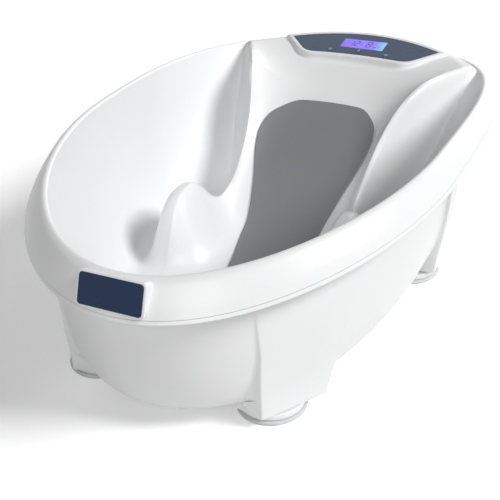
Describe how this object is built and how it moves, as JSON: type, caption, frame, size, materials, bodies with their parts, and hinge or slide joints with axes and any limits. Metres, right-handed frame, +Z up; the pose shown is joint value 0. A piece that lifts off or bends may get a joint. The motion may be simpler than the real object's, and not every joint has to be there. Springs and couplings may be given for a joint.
{
  "type": "baby bath with scale",
  "caption": "Baby bath with reclined seat, soft pad, head-end weight and temperature display with keys, sprung weighing feet, drain plug and battery door.",
  "frame": {"origin": "on the ground under the middle of the rim's length and width", "axes": "+Y along the bath towards the head end with the display, -Y towards the foot end with the plate, +Z up, +X to the right of someone standing at the foot end and facing the head end"},
  "size_m": [0.5146, 0.83, 0.2307],
  "materials": {
    "white_shell": "glossy",
    "white_fitting": "glossy",
    "grey_pad": "matte",
    "navy_plate": "glossy",
    "slate_lens": "glossy",
    "display": "lit, glossy",
    "board_green": "satin",
    "black_plastic": "matte",
    "socket_cream": "satin",
    "seal_rubber": "matte",
    "grip_rubber": "matte",
    "steel": "brushed",
    "cell_jacket": "satin",
    "lead_rubber": "matte"
  },
  "bodies": {
    "bath": {"inner_tub": "white_shell", "outer_casing": "white_shell", "console_tray": "white_fitting", "display_frame": "white_fitting", "battery_bay": "white_fitting", "drain_bush": "white_fitting", "drain_nut": "white_fitting", "probe_nut": "white_fitting", "backrest_pad": "grey_pad", "badge_plate": "navy_plate", "lens_panel": "slate_lens", "display_glass": "display", "main_board": "board_green", "power_switch": "black_plastic", "temperature_switch": "black_plastic", "weigh_switch": "black_plastic", "scale_chip": "black_plastic", "lead_socket": "socket_cream", "console_gasket": "seal_rubber", "drain_gasket": "seal_rubber", "temperature_probe": "steel", "contact_link": "steel", "contact_positive": "steel", "contact_negative": "steel", "casing_screw_1": "steel", "casing_screw_2": "steel", "casing_screw_3": "steel", "casing_screw_4": "steel", "load_cell_front_right": "steel", "load_cell_rear_right": "steel", "load_cell_front_left": "steel", "load_cell_rear_left": "steel", "battery_1": "cell_jacket", "battery_2": "cell_jacket", "load_cell_lead_front_right": "lead_rubber", "load_cell_lead_rear_right": "lead_rubber", "load_cell_lead_front_left": "lead_rubber", "load_cell_lead_rear_left": "lead_rubber", "battery_lead": "lead_rubber", "probe_lead": "lead_rubber"},
    "power_button_body": {"power_button": "slate_lens"},
    "temperature_button_body": {"temperature_button": "slate_lens"},
    "weigh_button_body": {"weigh_button": "slate_lens"},
    "battery_door_body": {"battery_door": "white_fitting"},
    "drain_plug_body": {"drain_plug": "white_fitting"},
    "foot_front_right_body": {"foot_front_right": "white_fitting", "foot_grip_front_right": "grip_rubber", "foot_clip_front_right": "steel"},
    "foot_rear_right_body": {"foot_rear_right": "white_fitting", "foot_grip_rear_right": "grip_rubber", "foot_clip_rear_right": "steel"},
    "foot_front_left_body": {"foot_front_left": "white_fitting", "foot_grip_front_left": "grip_rubber", "foot_clip_front_left": "steel"},
    "foot_rear_left_body": {"foot_rear_left": "white_fitting", "foot_grip_rear_left": "grip_rubber", "foot_clip_rear_left": "steel"}
  },
  "joints": [
    {"name": "power_button_press", "type": "slide", "parent": "bath", "child": "power_button_body", "axis": [0, 0.1289, -0.9917], "range_m": [0, 0.0006], "stiffness_N_per_m": 1800, "springref_m": -0.0005},
    {"name": "temperature_button_press", "type": "slide", "parent": "bath", "child": "temperature_button_body", "axis": [0, 0.1289, -0.9917], "range_m": [0, 0.0006], "stiffness_N_per_m": 1800, "springref_m": -0.0005},
    {"name": "weigh_button_press", "type": "slide", "parent": "bath", "child": "weigh_button_body", "axis": [0, 0.1289, -0.9917], "range_m": [0, 0.0006], "stiffness_N_per_m": 1800, "springref_m": -0.0005},
    {"name": "foot_front_right_press", "type": "slide", "parent": "bath", "child": "foot_front_right_body", "axis": [0, 0, 1], "range_m": [0, 0.0005], "stiffness_N_per_m": 1500, "springref_m": -0.0167},
    {"name": "foot_rear_right_press", "type": "slide", "parent": "bath", "child": "foot_rear_right_body", "axis": [0, 0, 1], "range_m": [0, 0.0005], "stiffness_N_per_m": 1500, "springref_m": -0.0167},
    {"name": "foot_front_left_press", "type": "slide", "parent": "bath", "child": "foot_front_left_body", "axis": [0, 0, 1], "range_m": [0, 0.0005], "stiffness_N_per_m": 1500, "springref_m": -0.0167},
    {"name": "foot_rear_left_press", "type": "slide", "parent": "bath", "child": "foot_rear_left_body", "axis": [0, 0, 1], "range_m": [0, 0.0005], "stiffness_N_per_m": 1500, "springref_m": -0.0167},
    {"name": "battery_door_slide", "type": "slide", "parent": "bath", "child": "battery_door_body", "axis": [0, 1, 0], "range_m": [0, 0.038]},
    {"name": "drain_plug_lift", "type": "slide", "parent": "bath", "child": "drain_plug_body", "axis": [0, 0, 1], "range_m": [0, 0.03]}
  ]
}
